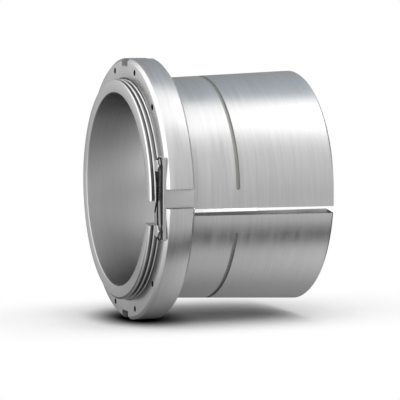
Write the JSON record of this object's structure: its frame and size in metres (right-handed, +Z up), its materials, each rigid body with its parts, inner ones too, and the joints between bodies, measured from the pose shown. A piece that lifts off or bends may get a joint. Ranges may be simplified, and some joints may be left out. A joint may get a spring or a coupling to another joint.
{
  "type": "bearing adapter sleeve",
  "caption": "Slit sleeve with a plain bore and a tapered seat, its lock nut and wired locking clip; it clamps a taper-bore bearing on a plain shaft.",
  "frame": {"origin": "centre of the big end's face, on the shaft axis, where the sleeve stands", "axes": "+Z up the shaft axis from the big end to the threaded end; +X from the axis to the spanner slot that holds the locking clip"},
  "size_m": [0.379, 0.379, 0.274],
  "materials": {
    "sleeve_steel": "fine turned",
    "nut_steel": "fine turned",
    "clip_steel": "satin",
    "screw_steel": "satin",
    "wire_steel": "drawn"
  },
  "bodies": {
    "root": {"sleeve": "sleeve_steel", "lock_nut": "nut_steel", "locking_clip": "clip_steel", "clip_screw_1": "screw_steel", "clip_screw_2": "screw_steel", "locking_wire": "wire_steel"}
  },
  "joints": []
}
